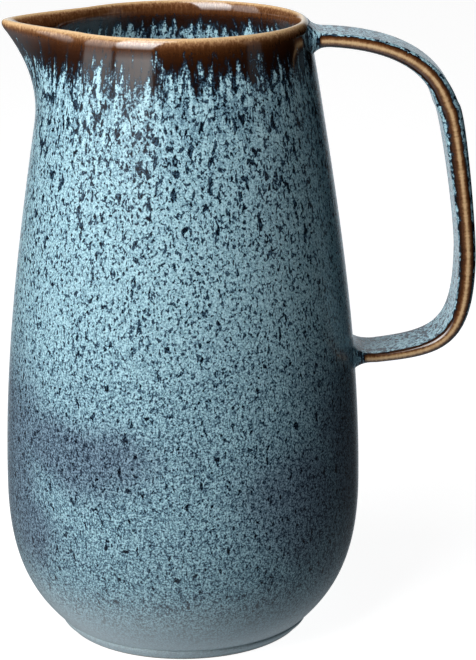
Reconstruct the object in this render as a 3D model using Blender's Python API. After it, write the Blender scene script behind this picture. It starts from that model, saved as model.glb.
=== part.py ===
"""Ceramic pitcher: a thrown vessel with a pinched spout and a luted strap handle.

Metres, +Z up. The pitcher stands on z = 0, its spout points to -X and its handle to +X, and the
origin is below the middle of its bounding box. Run it in Blender 4.5.
"""

from math import cos, pi, radians, sin, sqrt, tau

import bmesh
import bpy
from mathutils import Vector

MM = 0.001

# Vessel: every radius is about the turning axis, every height above the table.
HEIGHT = 235 * MM  # of the lip, away from the spout
BELLY_R = 67.7 * MM
BELLY_Z = 57.5 * MM
NECK_R = 48.6 * MM
NECK_LEAN = radians(9.1)  # how far the neck's wall leans in from the vertical
LIP_Z = 230.5 * MM  # where the wall ends and the rounded lip starts
CREST_R = 46 * MM
WALL_NECK = 4.5 * MM
WALL_BELLY = 4.8 * MM
FLOOR_Z = 10.5 * MM  # the inside floor
FLOOR_FLAT_R = 34 * MM

# Foot ring
FOOT_H = 4.2 * MM
FOOT_R_TABLE = 46 * MM
FOOT_R_TOP = 48.6 * MM
FOOT_R_INSIDE = 38 * MM
FOOT_EDGE = 0.8 * MM  # bevel where the ring meets the table
SHOULDER_R = 49 * MM  # the wall's first radius, just above the foot ring
SHOULDER_Z = 5 * MM
SHOULDER_RISE = radians(43)  # how steeply the wall leaves the foot

# How far each curve of the wall keeps to its direction at that end
PULL_FLOOR = 20 * MM
PULL_SHOULDER = 18 * MM
PULL_BELLY_DOWN = 25 * MM
PULL_BELLY_UP = 60 * MM
PULL_NECK = 61 * MM

# Spout: the lip is drawn out to a rounded point, and the pull fades down the neck.
SPOUT_TIP = 65.3 * MM  # from the turning axis to the tip of the lip
SPOUT_WALL = 5.6 * MM  # clay left at the tip
SPOUT_SPREAD = radians(43)  # each side of the spout's middle
SPOUT_SOFT = radians(3.6)  # rounds the point off
SPOUT_POWER = 1.8
SPOUT_DEPTH = 38 * MM
SPOUT_FADE = 2
SPOUT_LIFT = 0.6 * MM  # how much higher the lip stands at the tip

# Handle: a strap with rounded edges that follows a smooth path in the XZ plane.
STRAP_WIDTH = 25 * MM
STRAP_EDGE = 2 * MM
ROUNDEST = 0.42  # of the strap's thickness, at most, for the radius of its edges
HANDLE_REACH = 110.2 * MM  # from the turning axis to the strap's outermost face
JOINT_LENGTH_TOP = 6.5 * MM  # clay between the neck and the strap's upper end
JOINT_LENGTH_LOW = 7.5 * MM
JOINT_FLARE_TOP = 3.2 * MM
JOINT_FLARE_LOW = 3.0 * MM

GAP = 0.3 * MM  # between pieces that touch
AXIS_X = (BELLY_R - HANDLE_REACH) / 2  # puts the bounding box's middle on x = 0

# The strap's path in the vessel's own XZ plane: place, heading, the pull of the curve on each side,
# and the strap's thickness there.
STRAP_PATH = (
    {"at": (47.5, 228.2), "heading": 0, "before": 0, "after": 48, "thick": 4.9},
    {"at": (99.3, 202.1), "heading": -54, "before": 4, "after": 4, "thick": 8.2},
    {"at": (107.1, 145.2), "heading": -90, "before": 12, "after": 36.7, "thick": 6.2},
    {"at": (62, 106), "heading": -174, "before": 33.8, "after": 0, "thick": 3.3},
)

# Colours, linear, and how rough each glaze is
BLUE = (0.20, 0.34, 0.42)
FOOT_BLUE = (0.24, 0.32, 0.38)
HANDLE_BLUE = (0.22, 0.30, 0.36)
JOINT_BROWN = (0.16, 0.10, 0.07)
GLOSSY = 0.18
SATIN = 0.3
SHARP_ANGLE = radians(40)  # edges sharper than this are shaded as edges

# Mesh fineness
HALVINGS = 30  # when looking up the wall's radius at a height
TURN_STEPS = 72
TURN_CROWDING = 0.62  # draws the steps of a turn together at the spout
LOWER_STEPS = 8
UPPER_STEPS = 20
LIP_STEPS = 6
STRAP_STEPS = 11  # along each stretch of the strap's path
CORNER_STEPS = 3
FACE_STEPS = 5  # across each wide face of the strap
JOINT_STEPS = 5  # from the strap to the wall
ROOT_STEPS = 3  # from the root's rim to its middle


def clear_scene():
    for old in list(bpy.data.objects):
        bpy.data.objects.remove(old, do_unlink=True)


def glazed(name, colour, roughness):
    """A Principled material with the piece's colour and gloss."""
    material = bpy.data.materials.new(name)
    material.use_nodes = True
    shader = material.node_tree.nodes["Principled BSDF"]
    shader.inputs["Base Color"].default_value = (*colour, 1)
    shader.inputs["Roughness"].default_value = roughness
    shader.inputs["Metallic"].default_value = 0
    return material


def bezier(start, pull_start, pull_end, end, t):
    """The point at t on a cubic Bezier curve."""
    s = 1 - t
    return start * s**3 + pull_start * (3 * s * s * t) + pull_end * (3 * s * t * t) + end * t**3


def curve(start, pull_start, pull_end, end, steps):
    return [bezier(start, pull_start, pull_end, end, i / steps) for i in range(steps + 1)]


def lower_wall(inset, steps):
    """From the foot (or the inside floor) out to the belly, as (radius, height)."""
    belly = Vector((BELLY_R - inset, BELLY_Z))
    if inset:
        start = Vector((FLOOR_FLAT_R, FLOOR_Z))
        leave = Vector((PULL_FLOOR, 0))
    else:
        start = Vector((SHOULDER_R, SHOULDER_Z))
        leave = Vector((cos(SHOULDER_RISE), sin(SHOULDER_RISE))) * PULL_SHOULDER
    return curve(start, start + leave, belly - Vector((0, PULL_BELLY_DOWN)), belly, steps)


def upper_pulls(inset_belly, inset_neck):
    """The Bezier points of the wall from the belly up to the lip, as (radius, height)."""
    belly = Vector((BELLY_R - inset_belly, BELLY_Z))
    neck = Vector((NECK_R - inset_neck, LIP_Z))
    arrive = Vector((-sin(NECK_LEAN), cos(NECK_LEAN))) * PULL_NECK
    return belly, belly + Vector((0, PULL_BELLY_UP)), neck - arrive, neck


def upper_wall(inset_belly, inset_neck, steps):
    return curve(*upper_pulls(inset_belly, inset_neck), steps)


def wall_radius(height):
    """The vessel's outer radius at a height between the belly and the lip, away from the spout."""
    low, high = 0.0, 1.0
    for _ in range(HALVINGS):
        middle = (low + high) / 2
        if bezier(*upper_pulls(0, 0), middle).y < height:
            low = middle
        else:
            high = middle
    return bezier(*upper_pulls(0, 0), low).x


def lip():
    """The rounded lip from the outer wall over its crest to the inner wall."""
    outside = NECK_R - CREST_R
    inside = CREST_R - (NECK_R - WALL_NECK)
    points = []
    for i in range(1, 2 * LIP_STEPS):
        angle = pi * i / (2 * LIP_STEPS)
        half = outside if angle < pi / 2 else inside
        points.append(Vector((CREST_R + half * cos(angle), LIP_Z + (HEIGHT - LIP_Z) * sin(angle))))
    return points


def spout_pull(angle, height, outward):
    """How far the spout draws a point out. outward is 1 on the outer wall and 0 on the inner one."""
    depth = (HEIGHT - height) / SPOUT_DEPTH
    turn = sqrt(angle * angle + SPOUT_SOFT * SPOUT_SOFT) / SPOUT_SPREAD
    if depth >= 1 or turn >= 1:
        return 0.0
    peak = (1 - SPOUT_SOFT / SPOUT_SPREAD) ** SPOUT_POWER
    reach_in = SPOUT_TIP - SPOUT_WALL - (NECK_R - WALL_NECK)
    reach_out = SPOUT_TIP - CREST_R
    reach = reach_in + (reach_out - reach_in) * outward
    return reach / peak * (1 - turn) ** SPOUT_POWER * (1 - depth) ** SPOUT_FADE


def spout_lift(angle, height):
    """How much higher a point stands because the spout was drawn up."""
    turn = abs(angle) / SPOUT_SPREAD
    depth = (HEIGHT - height) / SPOUT_DEPTH
    if depth >= 1 or turn >= 1:
        return 0.0
    return SPOUT_LIFT * (1 - turn) * (1 - depth) ** SPOUT_FADE


def turned_ring(mesh, radius, height, outward=0.0, spouted=False):
    """One ring of vertices round the turning axis, crowded together towards the spout."""
    ring = []
    for i in range(TURN_STEPS):
        step = tau * i / TURN_STEPS
        angle = step - TURN_CROWDING * sin(step)
        signed = angle if angle <= pi else angle - tau
        reach, level = radius, height
        if spouted:
            reach += spout_pull(signed, height, outward)
            level += spout_lift(signed, height)
        ring.append(mesh.verts.new((AXIS_X - reach * cos(angle), reach * sin(angle), level)))
    return ring


def skin(mesh, rings, closed=False):
    """Joins neighbouring rings with faces, and the last ring to the first if closed."""
    pairs = list(zip(rings, rings[1:]))
    if closed:
        pairs.append((rings[-1], rings[0]))
    for lower, upper in pairs:
        count = len(lower)
        for i in range(count):
            j = (i + 1) % count
            mesh.faces.new((lower[i], lower[j], upper[j], upper[i]))


def cap(mesh, ring, centre):
    """Closes a ring with triangles to a middle vertex."""
    middle = mesh.verts.new(centre)
    for i, vertex in enumerate(ring):
        mesh.faces.new((vertex, ring[(i + 1) % len(ring)], middle))


def finish(mesh, name, material):
    """Turns a bmesh into a named, smooth-shaded object with its faces pointing out."""
    bmesh.ops.recalc_face_normals(mesh, faces=mesh.faces)
    data = bpy.data.meshes.new(name)
    mesh.to_mesh(data)
    mesh.free()
    data.shade_smooth()
    data.set_sharp_from_angle(angle=SHARP_ANGLE)
    data.materials.append(material)
    part = bpy.data.objects.new(name, data)
    bpy.context.scene.collection.objects.link(part)
    return part


def make_body():
    """The vessel: its underside, outer wall, lip, inner wall and floor, as one skin."""
    mesh = bmesh.new()
    underside = FOOT_H + GAP
    outer = lower_wall(0, LOWER_STEPS) + upper_wall(0, 0, UPPER_STEPS)[1:]
    inner = upper_wall(WALL_BELLY, WALL_NECK, UPPER_STEPS)[::-1]
    inner += lower_wall(WALL_BELLY, LOWER_STEPS)[::-1][1:]
    rings = [turned_ring(mesh, FOOT_R_INSIDE / 2, underside)]
    rings.append(turned_ring(mesh, FOOT_R_TOP - GAP, underside))
    for point in outer:
        rings.append(turned_ring(mesh, point.x, point.y, 1, True))
    for point in lip():
        outward = (point.x - (NECK_R - WALL_NECK)) / WALL_NECK
        rings.append(turned_ring(mesh, point.x, point.y, outward, True))
    for point in inner:
        rings.append(turned_ring(mesh, point.x, point.y, 0, True))
    rings.append(turned_ring(mesh, FLOOR_FLAT_R / 2, FLOOR_Z))
    skin(mesh, rings)
    cap(mesh, rings[0], (AXIS_X, 0, underside))
    cap(mesh, rings[-1], (AXIS_X, 0, FLOOR_Z))
    return finish(mesh, "body_shell", glazed("blue_glaze", BLUE, GLOSSY))


def make_foot_ring():
    """The turned ring that the vessel stands on."""
    mesh = bmesh.new()
    section = (
        (FOOT_R_INSIDE + FOOT_EDGE, 0),
        (FOOT_R_TABLE - FOOT_EDGE, 0),
        (FOOT_R_TABLE, FOOT_EDGE),
        (FOOT_R_TOP, FOOT_H - FOOT_EDGE),
        (FOOT_R_TOP - GAP, FOOT_H),
        (FOOT_R_INSIDE, FOOT_H),
        (FOOT_R_INSIDE, FOOT_EDGE),
    )
    skin(mesh, [turned_ring(mesh, radius, height) for radius, height in section], closed=True)
    return finish(mesh, "foot_ring", glazed("foot_glaze", FOOT_BLUE, SATIN))


def strap_stations():
    """The strap's path as (place, heading, thickness) steps, from the neck round to the belly."""
    stations = []
    for knot, after in zip(STRAP_PATH, STRAP_PATH[1:]):
        start, end = Vector(knot["at"]) * MM, Vector(after["at"]) * MM
        leave = Vector((cos(radians(knot["heading"])), sin(radians(knot["heading"]))))
        arrive = Vector((cos(radians(after["heading"])), sin(radians(after["heading"]))))
        points = curve(
            start,
            start + leave * knot["after"] * MM,
            end - arrive * after["before"] * MM,
            end,
            STRAP_STEPS,
        )
        first = 1 if stations else 0
        for i in range(first, STRAP_STEPS + 1):
            back, ahead = points[max(i - 1, 0)], points[min(i + 1, STRAP_STEPS)]
            t = i / STRAP_STEPS
            ease = t * t * (3 - 2 * t)
            thick = (knot["thick"] + (after["thick"] - knot["thick"]) * ease) * MM
            stations.append((points[i], (ahead - back).normalized(), thick))
    return stations


def strap_outline(width, thick, edge):
    """A rounded rectangle as (across, up) points, counter-clockwise, its wide faces in steps."""
    edge = min(edge, thick * ROUNDEST)
    points = []
    for corner, (side, top) in enumerate(((1, 1), (-1, 1), (-1, -1), (1, -1))):
        for k in range(CORNER_STEPS + 1):
            angle = (corner + k / CORNER_STEPS) * pi / 2
            across = side * (width / 2 - edge) + edge * cos(angle)
            points.append((across, top * (thick / 2 - edge) + edge * sin(angle)))
        if side == top:
            for k in range(1, FACE_STEPS):
                points.append((side * (width / 2 - edge) * (1 - 2 * k / FACE_STEPS), top * thick / 2))
    return points


def strap_section(station, grow_width=0.0, grow_thick=0.0):
    """The strap's outline stood across its path, as points in space."""
    place, heading, thick = station
    up = Vector((-heading.y, heading.x))
    points = []
    for across, lift in strap_outline(STRAP_WIDTH + grow_width, thick + grow_thick, STRAP_EDGE):
        middle = place + up * lift
        points.append(Vector((AXIS_X + middle.x, across, middle.y)))
    return points


def cut_path(stations, clear_top, clear_low):
    """The stations that stand clear of the wall, with new ends at the stated distances from it."""
    def clearance(station):
        return station[0].x - wall_radius(station[0].y)

    kept = list(stations)
    while clearance(kept[1]) < clear_top:
        kept.pop(0)
    while clearance(kept[-2]) < clear_low:
        kept.pop()
    kept[0] = between(kept[0], kept[1], clear_top, clearance)
    kept[-1] = between(kept[-1], kept[-2], clear_low, clearance)
    return kept


def between(near, far, wanted, clearance):
    """The station between two others whose clearance is the wanted one."""
    share = (wanted - clearance(near)) / (clearance(far) - clearance(near))
    place = near[0].lerp(far[0], share)
    heading = near[1].lerp(far[1], share).normalized()
    return place, heading, near[2] + (far[2] - near[2]) * share


def make_strap(stations):
    mesh = bmesh.new()
    rings = [[mesh.verts.new(p) for p in strap_section(station)] for station in stations]
    skin(mesh, rings)
    for ring, station in ((rings[0], stations[0]), (rings[-1], stations[-1])):
        cap(mesh, ring, (AXIS_X + station[0].x, 0, station[0].y))
    return finish(mesh, "handle_strap", glazed("handle_glaze", HANDLE_BLUE, GLOSSY))


def on_wall(across, height):
    """The point just clear of the wall's handle side at this place."""
    radius = wall_radius(height) + GAP
    return Vector((AXIS_X + sqrt(radius**2 - across**2), across, height))


def make_joint(name, station, away, flare):
    """The pad of clay between the strap's end and the wall, flaring to a root on the wall."""
    mesh = bmesh.new()
    place, heading, thick = station
    start = strap_section((place + heading * away * GAP, heading, thick))
    root = [on_wall(p.y, p.z) for p in strap_section(station, flare, 2 * flare)]
    rings = []
    for i in range(JOINT_STEPS + 1):
        t = i / JOINT_STEPS
        spread = t**3
        ring = []
        for near, far in zip(start, root):
            across = near.y + (far.y - near.y) * spread
            height = near.z + (far.z - near.z) * spread
            ring.append(mesh.verts.new((near.x + (far.x - near.x) * t, across, height)))
        rings.append(ring)
    for i in range(1, ROOT_STEPS):
        share = 1 - i / ROOT_STEPS
        heights = [place.y + (p.z - place.y) * share for p in root]
        rings.append([mesh.verts.new(on_wall(p.y * share, z)) for p, z in zip(root, heights)])
    skin(mesh, rings)
    cap(mesh, rings[0], sum(start, Vector()) / len(start))
    cap(mesh, rings[-1], on_wall(0, place.y))
    return finish(mesh, name, glazed(name + "_glaze", JOINT_BROWN, GLOSSY))


def main():
    clear_scene()
    make_body()
    make_foot_ring()
    stations = cut_path(strap_stations(), JOINT_LENGTH_TOP, JOINT_LENGTH_LOW)
    make_strap(stations)
    make_joint("upper_handle_joint", stations[0], -1, JOINT_FLARE_TOP)
    make_joint("lower_handle_joint", stations[-1], 1, JOINT_FLARE_LOW)


main()
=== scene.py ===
"""The looks of the ceramic pitcher: fine meshes, a reactive glaze, soft light and a camera.

Metres, +Z up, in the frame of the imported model. The spout points to -X and the handle to +X. Every
piece carries three values on its vertices for the glaze: "flow" is where the point lies in the glaze,
with its third number along the way that the glaze ran, "thin" is the distance in metres from the edge
where the glaze ran thin, and "bare" is 1 where the clay was wiped clean.
"""

from math import asin, cos, pi, radians, sin, sqrt, tau

import bmesh
import bpy
from mathutils import Matrix, Vector


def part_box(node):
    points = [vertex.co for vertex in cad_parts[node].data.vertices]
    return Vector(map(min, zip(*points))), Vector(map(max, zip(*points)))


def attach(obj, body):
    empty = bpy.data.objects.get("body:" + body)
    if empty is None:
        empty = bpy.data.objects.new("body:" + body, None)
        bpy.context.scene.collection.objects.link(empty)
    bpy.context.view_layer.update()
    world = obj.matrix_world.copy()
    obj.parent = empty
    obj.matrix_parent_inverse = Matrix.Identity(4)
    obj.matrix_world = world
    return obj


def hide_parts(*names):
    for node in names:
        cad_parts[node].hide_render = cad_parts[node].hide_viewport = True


MM = 0.001

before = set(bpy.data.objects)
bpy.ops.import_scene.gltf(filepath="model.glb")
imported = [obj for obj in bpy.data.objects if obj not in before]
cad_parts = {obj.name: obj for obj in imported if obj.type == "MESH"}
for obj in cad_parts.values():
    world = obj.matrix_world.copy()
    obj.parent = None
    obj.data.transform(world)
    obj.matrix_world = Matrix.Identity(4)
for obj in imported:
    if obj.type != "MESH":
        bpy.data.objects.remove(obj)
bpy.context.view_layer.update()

# Sizes from the frame
BODY_LOW, BODY_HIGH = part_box("body_shell")
FOOT_LOW, FOOT_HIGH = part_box("foot_ring")
STRAP_LOW, STRAP_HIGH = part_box("handle_strap")
AXIS_X = (FOOT_LOW[0] + FOOT_HIGH[0]) / 2
BELLY_R = (BODY_HIGH[1] - BODY_LOW[1]) / 2
FOOT_R_TOP = (FOOT_HIGH[1] - FOOT_LOW[1]) / 2
FOOT_H = FOOT_HIGH[2]
STRAP_WIDTH = STRAP_HIGH[1] - STRAP_LOW[1]

# The vessel's turned outline, as in the CAD: radii about the turning axis, heights above the table
HEIGHT = 235 * MM  # of the lip, away from the spout
BELLY_Z = 57.5 * MM
NECK_R = 48.6 * MM
NECK_LEAN = radians(9.1)  # how far the neck's wall leans in from the vertical
LIP_Z = 230.5 * MM  # where the wall ends and the rounded lip starts
CREST_R = 46 * MM
WALL_NECK = 4.5 * MM
WALL_BELLY = 4.8 * MM
FLOOR_Z = 10.5 * MM  # the inside floor
FLOOR_FLAT_R = 34 * MM
SHOULDER_R = 49 * MM  # the wall's first radius, just above the foot ring
SHOULDER_Z = 5 * MM
SHOULDER_RISE = radians(43)  # how steeply the wall leaves the foot
UNDERSIDE_R = FOOT_R_TOP - 2 * MM  # where the underside turns up to the shoulder
UNDERSIDE_Z = FOOT_H - MM

# How far each curve of the wall keeps to its direction at that end
PULL_FLOOR = 20 * MM
PULL_SHOULDER = 18 * MM
PULL_BELLY_DOWN = 25 * MM
PULL_BELLY_UP = 60 * MM
PULL_NECK = 61 * MM

# The foot ring
FOOT_R_TABLE = 46 * MM
FOOT_R_INSIDE = 38 * MM
FOOT_EDGE = 1.2 * MM  # radius of the rounded edge where the ring meets the table
# The rest of the ring's outer face, as millimetres in from its top radius and above its top
FOOT_FLANK = ((0.7, -1.6), (0.1, -0.4), (0, 0.2), (0.2, 0.5), (3, 0.5))

# The spout: the lip is drawn out to a rounded point, and the pull fades down the neck.
SPOUT_TIP = 65.3 * MM  # from the turning axis to the tip of the lip
SPOUT_WALL = 5.6 * MM  # clay left at the tip
SPOUT_SPREAD = radians(43)  # each side of the spout's middle
SPOUT_SOFT = radians(3.6)  # rounds the point off
SPOUT_POWER = 1.8
SPOUT_DEPTH = 38 * MM
SPOUT_FADE = 2
SPOUT_LIFT = 0.6 * MM  # how much higher the lip stands at the tip

# The handle's path in the vessel's own XZ plane, in millimetres: place, heading, the pull of the curve
# on each side, and the strap's thickness there
STRAP_PATH = (
    {"at": (47.5, 228.2), "heading": 0, "before": 0, "after": 48, "thick": 4.9},
    {"at": (99.3, 202.1), "heading": -54, "before": 4, "after": 4, "thick": 8.2},
    {"at": (107.1, 145.2), "heading": -90, "before": 12, "after": 36.7, "thick": 6.2},
    {"at": (62, 106), "heading": -174, "before": 33.8, "after": 0, "thick": 3.3},
)
ROUNDNESS = 0.46  # of the strap's thickness, for the radius of its edges
JOINT_LENGTH_TOP = 6.5 * MM  # from the neck to the strap's upper end
JOINT_LENGTH_LOW = 7.5 * MM
JOINT_FLARE_TOP = 3.2 * MM
JOINT_FLARE_LOW = 3.0 * MM
FLARE_POWER = 3  # a joint flares mostly near the wall
ROOT_SINK = 0.4 * MM  # how far its root goes into the wall

# How thick the glaze is, told as the distance down the outer wall from the lip's crest ("thin").
# Inside the vessel it follows three slopes of the distance from the crest.
INNER_CREST_SLOPE = 1.7
INNER_BAND = 3.4 * MM
INNER_BAND_FROM = 2 * MM
INNER_BAND_SLOPE = 0.35
INNER_DEEP_FROM = 5.5 * MM
INNER_DEEP_SLOPE = 1.6
# On the strap it grows round the edge from its apex, and faster past the brown.
APEX_THIN = 0.4 * MM
EDGE_SLOPE = 2.8
FACE_SLOPE = 30
# On the strap's outer and inner faces: how far round the edge the glaze is brown, and its most
STRAP_OUTSIDE = (2.1 * MM, 45 * MM)
STRAP_INSIDE = (3.0 * MM, 60 * MM)
JOINT_THIN = 22 * MM  # over the joints' roots
JOINT_COVER_FROM = 0.42  # of a joint's length, where the strap's glaze starts to give way to that
JOINT_COVER_LENGTH = 0.12
# Less than 1 draws the glaze's patterns out, along the strap and across it.
STRAP_FLOW_ALONG = 0.7
STRAP_FLOW_ACROSS = 0.1

# Mesh fineness
TURN_STEPS = 256
TURN_CROWDING = 0.62  # draws the steps of a turn together at the spout
LOWER_STEPS = 30
UPPER_STEPS = 64
LIP_STEPS = 12
FOOT_EDGE_STEPS = 4
FOOT_BARE_STEPS = 2  # of those, from the table up
STRAP_STEPS = 36  # along each stretch of the strap's path
HEADING_SPAN = 4  # steps each way that set the strap's heading, so it turns smoothly at the knots
CORNER_STEPS = 8
FACE_STEPS = 10
JOINT_STEPS = 14
HALVINGS = 30  # when looking up the wall's radius at a height
SHARP_ANGLE = radians(50)  # edges sharper than this are shaded as edges


# ---------------------------------------------------------------- shapes


def bezier(start, pull_start, pull_end, end, t):
    """The point at t on a cubic Bezier curve."""
    s = 1 - t
    return start * s**3 + pull_start * (3 * s * s * t) + pull_end * (3 * s * t * t) + end * t**3


def curve(start, pull_start, pull_end, end, steps):
    """Even steps of t along a cubic Bezier curve."""
    return [bezier(start, pull_start, pull_end, end, i / steps) for i in range(steps + 1)]


def lower_wall(inset, steps):
    """From the foot (or the inside floor) out to the belly, as (radius, height)."""
    belly = Vector((BELLY_R - inset, BELLY_Z))
    if inset:
        start = Vector((FLOOR_FLAT_R, FLOOR_Z))
        leave = Vector((PULL_FLOOR, 0))
    else:
        start = Vector((SHOULDER_R, SHOULDER_Z))
        leave = Vector((cos(SHOULDER_RISE), sin(SHOULDER_RISE))) * PULL_SHOULDER
    return curve(start, start + leave, belly - Vector((0, PULL_BELLY_DOWN)), belly, steps)


def upper_pulls(inset_belly, inset_neck):
    """The Bezier points of the wall from the belly up to the lip, as (radius, height)."""
    belly = Vector((BELLY_R - inset_belly, BELLY_Z))
    neck = Vector((NECK_R - inset_neck, LIP_Z))
    arrive = Vector((-sin(NECK_LEAN), cos(NECK_LEAN))) * PULL_NECK
    return belly, belly + Vector((0, PULL_BELLY_UP)), neck - arrive, neck


def upper_wall(inset_belly, inset_neck, steps):
    """From the belly up to where the lip starts, as (radius, height)."""
    return curve(*upper_pulls(inset_belly, inset_neck), steps)


def wall_radius(height):
    """The vessel's outer radius at a height between the belly and the lip, away from the spout."""
    low, high = 0.0, 1.0
    for _ in range(HALVINGS):
        middle = (low + high) / 2
        if bezier(*upper_pulls(0, 0), middle).y < height:
            low = middle
        else:
            high = middle
    return bezier(*upper_pulls(0, 0), low).x


def lip():
    """The rounded lip from the outer wall over its crest to the inner wall."""
    outside = NECK_R - CREST_R
    inside = CREST_R - (NECK_R - WALL_NECK)
    points = []
    for i in range(1, 2 * LIP_STEPS):
        angle = pi * i / (2 * LIP_STEPS)
        half = outside if angle < pi / 2 else inside
        points.append(Vector((CREST_R + half * cos(angle), LIP_Z + (HEIGHT - LIP_Z) * sin(angle))))
    return points


def spout_pull(angle, height, outward):
    """How far the spout draws a point out. outward is 1 on the outer wall and 0 on the inner one."""
    depth = (HEIGHT - height) / SPOUT_DEPTH
    turn = sqrt(angle * angle + SPOUT_SOFT * SPOUT_SOFT) / SPOUT_SPREAD
    if depth >= 1 or turn >= 1:
        return 0.0
    peak = (1 - SPOUT_SOFT / SPOUT_SPREAD) ** SPOUT_POWER
    reach_in = SPOUT_TIP - SPOUT_WALL - (NECK_R - WALL_NECK)
    reach_out = SPOUT_TIP - CREST_R
    reach = reach_in + (reach_out - reach_in) * outward
    return reach / peak * (1 - turn) ** SPOUT_POWER * (1 - depth) ** SPOUT_FADE


def spout_lift(angle, height):
    """How much higher a point stands because the spout was drawn up."""
    turn = abs(angle) / SPOUT_SPREAD
    depth = (HEIGHT - height) / SPOUT_DEPTH
    if depth >= 1 or turn >= 1:
        return 0.0
    return SPOUT_LIFT * (1 - turn) * (1 - depth) ** SPOUT_FADE


class Skin:
    """A mesh under construction, whose vertices carry the glaze's values."""

    def __init__(self):
        self.mesh = bmesh.new()
        layers = self.mesh.verts.layers
        self.flow = layers.float_vector.new("flow")
        self.thin = layers.float.new("thin")
        self.bare = layers.float.new("bare")

    def vertex(self, place, flow, thin, bare=0.0):
        vertex = self.mesh.verts.new(place)
        vertex[self.flow] = flow
        vertex[self.thin] = thin
        vertex[self.bare] = bare
        return vertex

    def join(self, rings, closed=False):
        """Joins neighbouring rings with faces, and the last ring to the first if closed."""
        pairs = list(zip(rings, rings[1:]))
        if closed:
            pairs.append((rings[-1], rings[0]))
        for lower, upper in pairs:
            count = len(lower)
            for i in range(count):
                j = (i + 1) % count
                self.mesh.faces.new((lower[i], lower[j], upper[j], upper[i]))

    def cap(self, ring, middle):
        """Closes a ring with triangles to a middle vertex."""
        for i, vertex in enumerate(ring):
            self.mesh.faces.new((vertex, ring[(i + 1) % len(ring)], middle))

    def finish(self, name, material, slot, *nodes):
        """Makes the piece, puts it in place of its CAD nodes and lets it ride on the pitcher."""
        bmesh.ops.recalc_face_normals(self.mesh, faces=self.mesh.faces)
        data = bpy.data.meshes.new(name)
        self.mesh.to_mesh(data)
        self.mesh.free()
        data.shade_smooth()
        data.set_sharp_from_angle(angle=SHARP_ANGLE)
        data.materials.append(material)
        piece = bpy.data.objects.new(name, data)
        bpy.context.scene.collection.objects.link(piece)
        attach(piece, "root")
        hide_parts(*nodes)
        return piece


def turned_ring(skin, point, thin, outward=0.0, spouted=False, bare=0.0):
    """One ring of vertices round the turning axis, crowded together towards the spout."""
    ring = []
    for i in range(TURN_STEPS):
        step = tau * i / TURN_STEPS
        angle = step - TURN_CROWDING * sin(step)
        signed = angle if angle <= pi else angle - tau
        reach, level = point.x, point.y
        if spouted:
            reach += spout_pull(signed, point.y, outward)
            level += spout_lift(signed, point.y)
        place = Vector((AXIS_X - reach * cos(angle), reach * sin(angle), level))
        ring.append(skin.vertex(place, place, thin, bare))
    return ring


def inner_thinness(from_crest):
    """The outer wall's distance from the crest at which the glaze is as thin as here inside."""
    band = INNER_BAND + max(from_crest - INNER_BAND_FROM, 0) * INNER_BAND_SLOPE
    deep = max(from_crest - INNER_DEEP_FROM, 0) * INNER_DEEP_SLOPE
    return min(from_crest * INNER_CREST_SLOPE, band + deep)


def make_body(material):
    """The vessel as one skin: underside, outer wall, lip, inner wall and floor."""
    skin = Skin()
    outer = lower_wall(0, LOWER_STEPS) + upper_wall(0, 0, UPPER_STEPS)[1:]
    inner = upper_wall(WALL_BELLY, WALL_NECK, UPPER_STEPS)[::-1]
    inner += lower_wall(WALL_BELLY, LOWER_STEPS)[::-1][1:]
    crest = lip()
    section = [(point, 1.0) for point in outer]
    section += [(p, (p.x - (NECK_R - WALL_NECK)) / WALL_NECK) for p in crest]
    section += [(point, 0.0) for point in inner]
    top = len(outer) + LIP_STEPS - 1
    run = [0.0]
    for (before, _), (after, _) in zip(section, section[1:]):
        run.append(run[-1] + (after - before).length)
    rings = []
    for radius in (FOOT_R_INSIDE / 2, UNDERSIDE_R):
        rings.append(turned_ring(skin, Vector((radius, UNDERSIDE_Z)), HEIGHT, bare=1.0))
    for length, (point, outward) in zip(run, section):
        from_crest = abs(length - run[top])
        thin = inner_thinness(from_crest) if length > run[top] else from_crest
        rings.append(turned_ring(skin, point, thin, outward, True))
    rings.append(turned_ring(skin, Vector((FLOOR_FLAT_R / 2, FLOOR_Z)), HEIGHT))
    skin.join(rings)
    for ring, height, bare in ((rings[0], UNDERSIDE_Z, 1.0), (rings[-1], FLOOR_Z, 0.0)):
        middle = Vector((AXIS_X, 0, height))
        skin.cap(ring, skin.vertex(middle, middle, HEIGHT, bare))
    return skin.finish("glazed_vessel", material, "blue_glaze", "body_shell")


def make_foot(material):
    """The foot ring, glazed on its outside and wiped bare where it stands."""
    skin = Skin()
    section = [(FOOT_R_INSIDE + FOOT_EDGE, 0, 1), (FOOT_R_TABLE - FOOT_EDGE, 0, 1)]
    for i in range(1, FOOT_EDGE_STEPS + 1):
        angle = i / FOOT_EDGE_STEPS * pi / 2
        radius = FOOT_R_TABLE - FOOT_EDGE * (1 - sin(angle))
        section.append((radius, FOOT_EDGE * (1 - cos(angle)), i <= FOOT_BARE_STEPS))
    for inward, above in FOOT_FLANK:
        section.append((FOOT_R_TOP - inward * MM, FOOT_H + above * MM, 0))
    section += [(FOOT_R_INSIDE, FOOT_H, 1), (FOOT_R_INSIDE, FOOT_EDGE, 1)]
    rings = [turned_ring(skin, Vector((r, z)), HEIGHT, bare=float(bare)) for r, z, bare in section]
    skin.join(rings, closed=True)
    return skin.finish("glazed_foot", material, "foot_glaze", "foot_ring")


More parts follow.
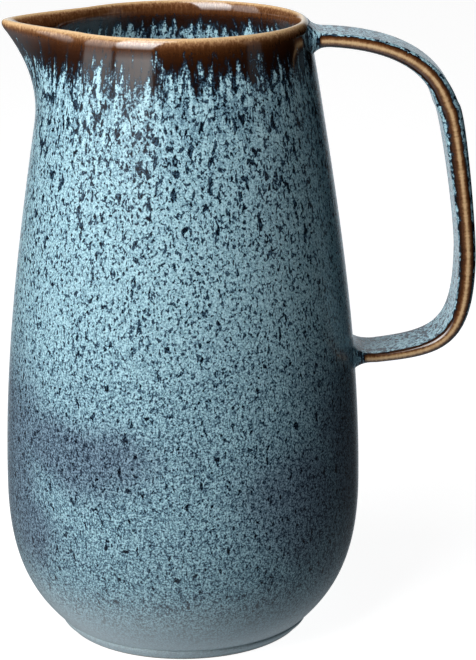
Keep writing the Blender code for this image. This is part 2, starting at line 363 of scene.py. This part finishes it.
def strap_stations():
    """The strap's path as (place, heading, thickness, run) steps, from the neck to the belly."""
    places, thicks = [], []
    for knot, after in zip(STRAP_PATH, STRAP_PATH[1:]):
        start, end = Vector(knot["at"]) * MM, Vector(after["at"]) * MM
        leave = Vector((cos(radians(knot["heading"])), sin(radians(knot["heading"]))))
        arrive = Vector((cos(radians(after["heading"])), sin(radians(after["heading"]))))
        points = curve(
            start,
            start + leave * knot["after"] * MM,
            end - arrive * after["before"] * MM,
            end,
            STRAP_STEPS,
        )
        for i in range(1 if places else 0, STRAP_STEPS + 1):
            t = i / STRAP_STEPS
            ease = t * t * (3 - 2 * t)
            places.append(points[i])
            thicks.append((knot["thick"] + (after["thick"] - knot["thick"]) * ease) * MM)
    stations = []
    run = 0.0
    for i, place in enumerate(places):
        run += (place - places[max(i - 1, 0)]).length
        back, ahead = places[max(i - HEADING_SPAN, 0)], places[min(i + HEADING_SPAN, len(places) - 1)]
        stations.append((place, (ahead - back).normalized(), thicks[i], run))
    return stations


def strap_outline(width, thick):
    """The strap's section as (across, up, distance from the edge's apex) points."""
    edge = thick * ROUNDNESS
    points = []
    for corner, (side, top) in enumerate(((1, 1), (-1, 1), (-1, -1), (1, -1))):
        for k in range(CORNER_STEPS + 1):
            angle = (corner + k / CORNER_STEPS) * pi / 2
            across = side * (width / 2 - edge) + edge * cos(angle)
            up = top * (thick / 2 - edge) + edge * sin(angle)
            from_apex = edge * asin(min(1, abs(sin(angle)))) + (thick / 2 - edge)
            points.append((across, up, from_apex))
        if side == top:
            for k in range(1, FACE_STEPS):
                across = side * (width / 2 - edge) * (1 - 2 * k / FACE_STEPS)
                reach = edge * pi / 2 + (width / 2 - edge) - abs(across)
                points.append((across, top * thick / 2, reach))
    return points


def strap_thinness(from_apex, lift):
    """The lip's distance from the crest at which the glaze is as thin as here on the strap's edge."""
    brown, most = STRAP_OUTSIDE if lift > 0 else STRAP_INSIDE
    return min(APEX_THIN + from_apex * EDGE_SLOPE + max(from_apex - brown, 0) * FACE_SLOPE, most)


def strap_section(station, grow_width=0.0, grow_thick=0.0):
    """The strap's outline stood across its path, as (place, flow, thin) for each point."""
    place, heading, thick, run = station
    up = Vector((-heading.y, heading.x))
    section = []
    for across, lift, from_apex in strap_outline(STRAP_WIDTH + grow_width, thick + grow_thick):
        middle = place + up * lift
        spot = Vector((AXIS_X + middle.x, across, middle.y))
        flow = Vector((run * STRAP_FLOW_ALONG, across * STRAP_FLOW_ACROSS, from_apex))
        section.append((spot, flow, strap_thinness(from_apex, lift)))
    return section


def clearance(station):
    """How far a station stands from the wall."""
    return station[0].x - wall_radius(station[0].y)


def between(near, far, wanted):
    """The station between two others that stands the wanted distance from the wall."""
    share = (wanted - clearance(near)) / (clearance(far) - clearance(near))
    place = near[0].lerp(far[0], share)
    heading = near[1].lerp(far[1], share).normalized()
    return place, heading, near[2] + (far[2] - near[2]) * share, near[3] + (far[3] - near[3]) * share


def cut_path(stations):
    """The stations that stand clear of the wall, with new ends where the joints begin."""
    kept = list(stations)
    while clearance(kept[1]) < JOINT_LENGTH_TOP:
        kept.pop(0)
    while clearance(kept[-2]) < JOINT_LENGTH_LOW:
        kept.pop()
    kept[0] = between(kept[0], kept[1], JOINT_LENGTH_TOP)
    kept[-1] = between(kept[-1], kept[-2], JOINT_LENGTH_LOW)
    return kept


def make_strap(stations, material):
    """The strap, with its ends tucked into the joints."""
    skin = Skin()
    rings = []
    for station in stations:
        rings.append([skin.vertex(*point) for point in strap_section(station)])
    skin.join(rings)
    for ring, station in ((rings[0], stations[0]), (rings[-1], stations[-1])):
        middle = Vector((AXIS_X + station[0].x, 0, station[0].y))
        skin.cap(ring, skin.vertex(middle, Vector((0, 0, station[3])), 0))
    return skin.finish("glazed_strap", material, "handle_glaze", "handle_strap")


def make_joint(name, node, station, flare, material):
    """The pad between the strap's end and the wall, flaring to a root on the wall."""
    skin = Skin()
    start = strap_section(station)
    wide = strap_section(station, flare, 2 * flare)
    rings = []
    for i in range(JOINT_STEPS + 1):
        t = i / JOINT_STEPS
        spread = t**FLARE_POWER
        cover = min(1, max(0, (t - JOINT_COVER_FROM) / JOINT_COVER_LENGTH))
        ring = []
        for (near, flow, thin), (far, _, _) in zip(start, wide):
            across = near.y + (far.y - near.y) * spread
            height = near.z + (far.z - near.z) * spread
            root_x = AXIS_X + sqrt(wall_radius(far.z) ** 2 - far.y**2) - ROOT_SINK
            place = Vector((near.x + (root_x - near.x) * t, across, height))
            ran = flow + Vector((place.x - near.x, 0, 0))
            ring.append(skin.vertex(place, ran, thin + (JOINT_THIN - thin) * cover))
        rings.append(ring)
    skin.join(rings)
    for ring in (rings[0], rings[-1]):
        middle = sum((vertex.co for vertex in ring), Vector()) / len(ring)
        skin.cap(ring, skin.vertex(middle, middle, 0))
    return skin.finish(name, material, "joint_glaze", node)


# ---------------------------------------------------------------- glaze


def linear(red, green, blue):
    """An sRGB colour of 0 to 255 as the linear colour that Blender takes."""

    def channel(value):
        share = value / 255
        return share / 12.92 if share <= 0.04045 else ((share + 0.055) / 1.055) ** 2.4

    return (channel(red), channel(green), channel(blue), 1)


EARTH = linear(24, 15, 13)
# Pale near the foot: partly a paler glaze, partly painted bounce light from the table below
FOOT_PALE_AND_BOUNCE = linear(214, 231, 236)
STONEWARE = linear(150, 132, 112)
TURQUOISE_TONES = (
    (0.0, linear(12, 24, 36)),
    (0.35, linear(56, 82, 102)),
    (0.7, linear(132, 171, 187)),
    (1.0, linear(190, 228, 238)),
)
# Slate blue, also used for the painted shade of the two right-hand clouds
SLATE_AND_SHADE_TONES = (
    (0.0, linear(12, 20, 34)),
    (0.35, linear(43, 58, 76)),
    (0.7, linear(98, 121, 139)),
    (1.0, linear(146, 174, 192)),
)
# Brown glaze by the distance from the crest of the lip, in millimetres
BROWN_TONES = (
    (0.0, linear(238, 206, 162)),
    (1.2, linear(222, 184, 138)),
    (2.0, linear(184, 144, 102)),
    (2.8, linear(138, 98, 66)),
    (3.8, linear(100, 62, 35)),
    (5.0, linear(78, 44, 21)),
    (7.0, linear(58, 30, 13)),
    (10.0, linear(42, 21, 10)),
)
# Clouds of slate in the glaze, and two of painted shade on the pitcher's shaded right: the azimuth of each
# middle in degrees to the right of the camera's side, its height, and its half width and half height, all in
# millimetres
SLATE_AND_SHADE_CLOUDS = (
    {"azimuth": -38, "height": 84, "wide": 42, "high": 18},
    {"azimuth": -74, "height": 76, "wide": 34, "high": 50},
    {"azimuth": -57, "height": 50, "wide": 23, "high": 17},
    # These two are painted shade on the right side, where the light falls away
    {"azimuth": 44, "height": 66, "wide": 34, "high": 30},
    {"azimuth": 68, "height": 76, "wide": 38, "high": 54},
    {"azimuth": 160, "height": 75, "wide": 36, "high": 28},
    {"azimuth": 215, "height": 50, "wide": 28, "high": 24},
)

# Patterns: grains per metre across and along the flow, then the noise's detail, roughness and distortion
RUNS = (430, 55, 2.5, 0.6, 0.0)
THREADS = (1300, 260, 2.0, 0.6, 0.0)
GRAIN = (1600, 1500, 1.5, 0.6, 0.0)
SPECKS = (950, 700, 1.0, 0.5, 0.4)
LENSES = (480, 230, 1.2, 0.5, 0.3)
BLOTS = (430, 330, 1.0, 0.5, 0.4)
DRIFT = (45, 30, 2.0, 0.5, 0.0)

# How far each pattern shifts the glaze's thickness
RUN_REACH = 36 * MM
THREAD_REACH = 14 * MM
GRAIN_REACH = 12 * MM

# Smooth steps: from, to, and for some the values there. These go by how thick the glaze is.
RUNS_START = (2 * MM, 6.5 * MM)
EARTHINESS = (8 * MM, 15 * MM)
BLUENESS = (9.5 * MM, 19 * MM)
THICKNESS = (13 * MM, 21 * MM, 0.18, 1.0)
NEAR_RIM = (20 * MM, 60 * MM, 1.0, 0.0)
UPPER = (30 * MM, 120 * MM, 1.0, 0.0)
LOW_HALF = (90 * MM, 150 * MM)
FOOT_BAND = (200 * MM, 238 * MM)
RAY_GAIN = (0.3 * MM, 3 * MM, 1.0, 3.2)
# These go by a pattern.
LENS_EDGE = (0.54, 0.60)
SPECK_EDGE = (0.555, 0.615)
BLOT_EDGE = (0.69, 0.73)
HAZE_EDGE = (0.50, 0.72)
CLOUD_EDGE = (0.30, 1.25, 1.0, 0.0)
# These go by the blueness.
GLAZE_ROUGHNESS = (0.0, 1.0, 0.09, 0.22)
GLAZE_SPECULAR = (0.0, 1.0, 0.9, 0.45)

# The tone of the blue, from 0 for ink to 1 for pale: its base, and what each thing adds to it
BASE_TONE = 0.82
RIM_TONE = -0.07
LOW_TONE = -0.11
LENS_TONE = -0.62
SPECK_TONE = -0.58
SPECK_TONE_LOW = 0.26  # added to that on the low half
BLOT_TONE = -0.60
RUN_GAIN = 1.5
THREAD_GAIN = 0.5
GRAIN_GAIN = 1.4
GRAIN_GAIN_LOW = 0.8
GRAIN_GAIN_FOOT = 0.4
LENS_SHIFT = 0.13  # keeps lenses rare
LENS_SHIFT_UPPER = 0.10  # and makes them commoner on the upper wall
HAZE_SLATE = 0.3  # the most slate outside the clouds
FOOT_PALE_AND_BOUNCE_SHARE = 0.80  # how far the pale colour covers the foot's band: partly a paler glaze, partly painted bounce light from the table
GRAIN_RAYS = 2.0  # how far the grain shifts the brown, in its own millimetres
BARE_ROUGHNESS = 0.75
BUMP_DISTANCE = 0.05 * MM
BUMP_STRENGTH = 0.5
GLAZE_IOR = 1.5


class Nodes:
    """Short calls for building a node tree."""

    def __init__(self, tree):
        self.tree = tree

    def new(self, kind, **values):
        node = self.tree.nodes.new(kind)
        for key, value in values.items():
            setattr(node, key, value)
        return node

    def put(self, value, socket):
        """Links a socket, or sets a plain value."""
        if isinstance(value, bpy.types.NodeSocket):
            self.tree.links.new(value, socket)
        else:
            socket.default_value = value

    def attribute(self, name, output="Fac"):
        return self.new("ShaderNodeAttribute", attribute_name=name).outputs[output]

    def split(self, vector):
        """A vector's three numbers, by the names X, Y and Z."""
        node = self.new("ShaderNodeSeparateXYZ")
        self.put(vector, node.inputs[0])
        return node.outputs

    def math(self, operation, first, second=0.0, third=0.0, clamp=False):
        node = self.new("ShaderNodeMath", operation=operation, use_clamp=clamp)
        for value, socket in zip((first, second, third), node.inputs):
            self.put(value, socket)
        return node.outputs[0]

    def add_scaled(self, value, factor, base):
        """The base plus the value times the factor."""
        return self.math("MULTIPLY_ADD", value, factor, base)

    def pattern(self, flow, across, along, detail, roughness, distortion):
        """A noise of 0 to 1, with its grains per metre across and along the flow."""
        stretch = self.new("ShaderNodeVectorMath", operation="MULTIPLY")
        self.put(flow, stretch.inputs[0])
        self.put((across, across, along), stretch.inputs[1])
        node = self.new("ShaderNodeTexNoise")
        self.put(stretch.outputs[0], node.inputs["Vector"])
        self.put(1, node.inputs["Scale"])
        self.put(detail, node.inputs["Detail"])
        self.put(roughness, node.inputs["Roughness"])
        self.put(distortion, node.inputs["Distortion"])
        return node.outputs["Fac"]

    def centred(self, pattern):
        """A pattern of 0 to 1, shifted so that its middle is 0."""
        return self.math("SUBTRACT", pattern, 0.5)

    def step(self, value, low, high, start=0.0, end=1.0):
        """A smooth step of the value, from start below low to end above high."""
        node = self.new("ShaderNodeMapRange", interpolation_type="SMOOTHSTEP", clamp=True)
        for socket, given in zip(node.inputs, (value, low, high, start, end)):
            self.put(given, socket)
        return node.outputs[0]

    def ramp(self, value, stops):
        """A colour that follows the value through stops of (value, colour), straight between them."""
        low, high = stops[0][0], stops[-1][0]
        node = self.new("ShaderNodeValToRGB")
        elements = node.color_ramp.elements
        while len(elements) < len(stops):
            elements.new(0.5)
        for element, (place, colour) in zip(elements, stops):
            element.position = (place - low) / (high - low)
            element.color = colour
        share = self.math("DIVIDE", self.math("SUBTRACT", value, low), high - low, clamp=True)
        self.put(share, node.inputs[0])
        return node.outputs[0]

    def mix(self, share, first, second):
        """A colour between two others."""
        node = self.new("ShaderNodeMix", data_type="RGBA")
        self.put(share, node.inputs[0])
        self.put(first, node.inputs[6])
        self.put(second, node.inputs[7])
        return node.outputs[2]


def cloud_share(nodes, flow, drift, azimuth, height, wide, high):
    """How deep a spot lies inside a cloud, from 0 to 1. Most clouds are slate in the glaze; two are painted
    shade.
    """
    turn = radians(azimuth)
    centre = Vector((AXIS_X + BELLY_R * sin(turn), -BELLY_R * cos(turn), height * MM))
    scale = (1 / (wide * MM), 1 / (wide * MM), 1 / (high * MM))
    place = nodes.new("ShaderNodeVectorMath", operation="MULTIPLY_ADD")
    nodes.put(flow, place.inputs[0])
    nodes.put(scale, place.inputs[1])
    nodes.put([-c * s for c, s in zip(centre, scale)], place.inputs[2])
    length = nodes.new("ShaderNodeVectorMath", operation="LENGTH")
    nodes.put(place.outputs[0], length.inputs[0])
    reach = nodes.math("ADD", length.outputs["Value"], nodes.centred(drift))
    return nodes.step(reach, *CLOUD_EDGE)


def make_glaze():
    """A reactive glaze: mottled turquoise with ink-dark specks, breaking to brown where it ran thin. Two of
    its slate clouds are painted shade, and its pale foot band is partly painted bounce light.
    """
    material = bpy.data.materials.new("reactive_glaze")
    material.use_nodes = True
    nodes = Nodes(material.node_tree)
    shader = material.node_tree.nodes["Principled BSDF"]
    flow = nodes.attribute("flow", "Vector")
    thin = nodes.attribute("thin")
    bare = nodes.attribute("bare")

    runs = nodes.centred(nodes.pattern(flow, *RUNS))
    threads = nodes.centred(nodes.pattern(flow, *THREADS))
    grain = nodes.centred(nodes.pattern(flow, *GRAIN))
    specks = nodes.pattern(flow, *SPECKS)
    lenses = nodes.pattern(flow, *LENSES)
    blots = nodes.pattern(flow, *BLOTS)
    drift = nodes.pattern(flow, *DRIFT)

    # How far the glaze has thickened at each spot: in streaks that reach up into the brown band.
    ragged = nodes.add_scaled(threads, THREAD_REACH, thin)
    ragged = nodes.add_scaled(nodes.math("MULTIPLY", runs, nodes.step(thin, *RUNS_START)), RUN_REACH, ragged)
    ragged = nodes.add_scaled(grain, GRAIN_REACH, ragged)
    blueness = nodes.step(ragged, *BLUENESS)

    # The tone of the blue, from ink to pale turquoise.
    near_rim = nodes.step(thin, *NEAR_RIM)
    upper = nodes.step(thin, *UPPER)
    low_half = nodes.step(thin, *LOW_HALF)
    foot = nodes.step(thin, *FOOT_BAND)
    lens_level = nodes.add_scaled(upper, LENS_SHIFT_UPPER, nodes.math("SUBTRACT", lenses, LENS_SHIFT))
    speck_tone = nodes.add_scaled(low_half, SPECK_TONE_LOW, SPECK_TONE)
    grain_gain = nodes.add_scaled(low_half, GRAIN_GAIN_LOW, GRAIN_GAIN)
    grain_gain = nodes.add_scaled(foot, GRAIN_GAIN_FOOT, grain_gain)
    tone = nodes.add_scaled(near_rim, RIM_TONE, BASE_TONE)
    tone = nodes.add_scaled(low_half, LOW_TONE, tone)
    tone = nodes.add_scaled(grain, grain_gain, tone)
    tone = nodes.add_scaled(nodes.math("MULTIPLY", runs, near_rim), RUN_GAIN, tone)
    tone = nodes.add_scaled(threads, THREAD_GAIN, tone)
    tone = nodes.add_scaled(nodes.step(lens_level, *LENS_EDGE), LENS_TONE, tone)
    tone = nodes.add_scaled(nodes.step(specks, *SPECK_EDGE), speck_tone, tone)
    tone = nodes.add_scaled(nodes.step(blots, *BLOT_EDGE), BLOT_TONE, tone)
    tone = nodes.math("MULTIPLY", tone, nodes.step(ragged, *THICKNESS), clamp=True)

    # Slate in the glaze on the low half, and painted shade where the two right-hand clouds lie on the shaded
    # side.
    slate_and_shade = nodes.math("MULTIPLY", nodes.step(drift, *HAZE_EDGE), HAZE_SLATE)
    for cloud in SLATE_AND_SHADE_CLOUDS:
        slate_and_shade = nodes.math("MAXIMUM", slate_and_shade, cloud_share(nodes, flow, drift, **cloud))
    slate_and_shade = nodes.math("MULTIPLY", slate_and_shade, low_half)
    blue = nodes.mix(slate_and_shade, nodes.ramp(tone, TURQUOISE_TONES), nodes.ramp(tone, SLATE_AND_SHADE_TONES))
    # The foot's band turns pale: partly a paler glaze, partly painted bounce light from the table.
    blue = nodes.mix(nodes.math("MULTIPLY", foot, FOOT_PALE_AND_BOUNCE_SHARE), blue, FOOT_PALE_AND_BOUNCE)

    # Brown where the glaze ran thin, honey where it broke over the very edge.
    rayed = nodes.math("MULTIPLY", thin, 1 / MM)
    rayed = nodes.add_scaled(threads, nodes.step(thin, *RAY_GAIN), rayed)
    rayed = nodes.add_scaled(grain, GRAIN_RAYS, rayed)
    brown = nodes.mix(nodes.step(ragged, *EARTHINESS), nodes.ramp(rayed, BROWN_TONES), EARTH)
    colour = nodes.mix(blueness, brown, blue)
    nodes.put(nodes.mix(bare, colour, STONEWARE), shader.inputs["Base Color"])

    bare_rough = nodes.math("MULTIPLY", bare, BARE_ROUGHNESS)
    rough = nodes.math("MAXIMUM", nodes.step(blueness, *GLAZE_ROUGHNESS), bare_rough)
    nodes.put(rough, shader.inputs["Roughness"])
    nodes.put(nodes.step(blueness, *GLAZE_SPECULAR), shader.inputs["Specular IOR Level"])
    shader.inputs["IOR"].default_value = GLAZE_IOR
    bump = nodes.new("ShaderNodeBump")
    nodes.put(nodes.math("MULTIPLY", tone, blueness), bump.inputs["Height"])
    bump.inputs["Distance"].default_value = BUMP_DISTANCE
    bump.inputs["Strength"].default_value = BUMP_STRENGTH
    nodes.put(bump.outputs[0], shader.inputs["Normal"])
    return material


# ---------------------------------------------------------------- studio

BLACK = (0, 0, 0, 1)
WHITE = (1, 1, 1, 1)
ROOM_TINT = (0.9, 1.0, 1.08, 1)
FLOOR_HALF = 8  # metres
FLOOR_GREY = (0.35, 0.35, 0.35, 1)
FLOOR_ROUGHNESS = 0.9
FLOOR_GLOW = 0.94

# The room's glow, as smooth steps of the direction: the wall behind, the table below, which darkens to
# the right, and the wall on the left
GLOW_BEHIND = (0.86, 0.965, 0.0, 0.75)
GLOW_BELOW = (-0.12, -0.9, 0.0, 0.66)
GLOW_BELOW_RIGHT = (-0.3, 0.7, 1.0, 0.4)
GLOW_LEFT = (0.2, -1.0, 0.0, 0.03)

# Softboxes: azimuth to the right of the camera's side and elevation in degrees, size in metres, power in
# watts, and the share of the height over which the light grows from its lower edge
SOFTBOXES = (
    {"name": "key", "azimuth": -38, "elevation": 27, "size": (0.52, 0.84), "power": 12.4, "fade": 0.7},
    {"name": "upper", "azimuth": -40, "elevation": 64, "size": (0.44, 0.36), "power": 2.4, "fade": 0},
    {"name": "side", "azimuth": -72, "elevation": 17, "size": (0.46, 0.80), "power": 2.2, "fade": 0.6},
    {"name": "fill", "azimuth": 66, "elevation": 15, "size": (0.22, 0.60), "power": 0.07, "fade": 0},
)
SOFTBOX_DISTANCE = 0.9
SOFTBOX_AIM = 0.6  # of the pitcher's height

# The camera: its place and aim in metres, lens and sensor in millimetres, shift in sensor widths
CAMERA_PLACE = (AXIS_X, -0.9116, 0.3768)
CAMERA_AIM = (AXIS_X, 0, 0.1266)
CAMERA_ROLL = radians(-0.57)
CAMERA_SENSOR = 36
CAMERA_LENS = 135.81
CAMERA_SHIFT = (0.0857, -0.0419)


def make_floor():
    """A plain pale floor that the camera sees and that the pitcher's shadow falls on."""
    mesh = bmesh.new()
    bmesh.ops.create_grid(mesh, x_segments=1, y_segments=1, size=FLOOR_HALF)
    data = bpy.data.meshes.new("floor")
    mesh.to_mesh(data)
    mesh.free()
    material = bpy.data.materials.new("pale_floor")
    material.use_nodes = True
    shader = material.node_tree.nodes["Principled BSDF"]
    shader.inputs["Base Color"].default_value = FLOOR_GREY
    shader.inputs["Roughness"].default_value = FLOOR_ROUGHNESS
    shader.inputs["Specular IOR Level"].default_value = 0.0
    shader.inputs["Emission Color"].default_value = WHITE
    shader.inputs["Emission Strength"].default_value = FLOOR_GLOW
    data.materials.append(material)
    floor = bpy.data.objects.new("floor", data)
    floor.visible_diffuse = False
    floor.visible_glossy = False
    bpy.context.scene.collection.objects.link(floor)


def make_world():
    """A dim studio room with a bright wall behind the pitcher. The camera itself sees it pale."""
    world = bpy.data.worlds.new("studio")
    bpy.context.scene.world = world
    world.use_nodes = True
    nodes = Nodes(world.node_tree)
    background = world.node_tree.nodes["Background"]
    direction = nodes.split(nodes.new("ShaderNodeTexCoord").outputs["Generated"])
    behind = nodes.step(direction["Y"], *GLOW_BEHIND)
    below = nodes.step(direction["Z"], *GLOW_BELOW)
    below = nodes.math("MULTIPLY", below, nodes.step(direction["X"], *GLOW_BELOW_RIGHT))
    left = nodes.step(direction["X"], *GLOW_LEFT)
    glow = nodes.math("ADD", nodes.math("ADD", behind, below), left)
    seen = nodes.new("ShaderNodeLightPath").outputs["Is Camera Ray"]
    nodes.put(nodes.mix(seen, nodes.mix(glow, BLACK, ROOM_TINT), WHITE), background.inputs["Color"])


def softbox(name, azimuth, elevation, size, power, fade):
    """A rectangular light that faces the pitcher."""
    turn, rise = radians(azimuth), radians(elevation)
    target = Vector((AXIS_X, 0, HEIGHT * SOFTBOX_AIM))
    towards = Vector((sin(turn) * cos(rise), -cos(turn) * cos(rise), sin(rise)))
    lamp = bpy.data.lights.new(name, "AREA")
    lamp.shape = "RECTANGLE"
    lamp.size, lamp.size_y = size
    lamp.energy = power
    if fade:
        lamp.use_nodes = True
        nodes = Nodes(lamp.node_tree)
        height = nodes.split(nodes.new("ShaderNodeNewGeometry").outputs["Parametric"])["Y"]
        nodes.put(nodes.step(height, 0.0, fade), lamp.node_tree.nodes["Emission"].inputs["Strength"])
    light = bpy.data.objects.new(name, lamp)
    light.location = target + towards * SOFTBOX_DISTANCE
    light.rotation_euler = (-towards).to_track_quat("-Z", "Y").to_euler()
    light.visible_camera = False
    bpy.context.scene.collection.objects.link(light)


def make_camera():
    """A long lens, a little above the pitcher's rim."""
    data = bpy.data.cameras.new("camera")
    data.sensor_width = CAMERA_SENSOR
    data.lens = CAMERA_LENS
    data.shift_x, data.shift_y = CAMERA_SHIFT
    camera = bpy.data.objects.new("camera", data)
    place, aim = Vector(CAMERA_PLACE), Vector(CAMERA_AIM)
    turn = (aim - place).to_track_quat("-Z", "Y").to_matrix().to_4x4()
    camera.matrix_world = Matrix.Translation(place) @ turn @ Matrix.Rotation(CAMERA_ROLL, 4, "Z")
    bpy.context.scene.collection.objects.link(camera)
    bpy.context.scene.camera = camera


def main():
    glaze = make_glaze()
    make_body(glaze)
    make_foot(glaze)
    stations = cut_path(strap_stations())
    make_strap(stations, glaze)
    make_joint("glazed_upper_joint", "upper_handle_joint", stations[0], JOINT_FLARE_TOP, glaze)
    make_joint("glazed_lower_joint", "lower_handle_joint", stations[-1], JOINT_FLARE_LOW, glaze)
    make_floor()
    make_world()
    for light in SOFTBOXES:
        softbox(**light)
    make_camera()
    bpy.context.scene.view_settings.view_transform = "Standard"


main()
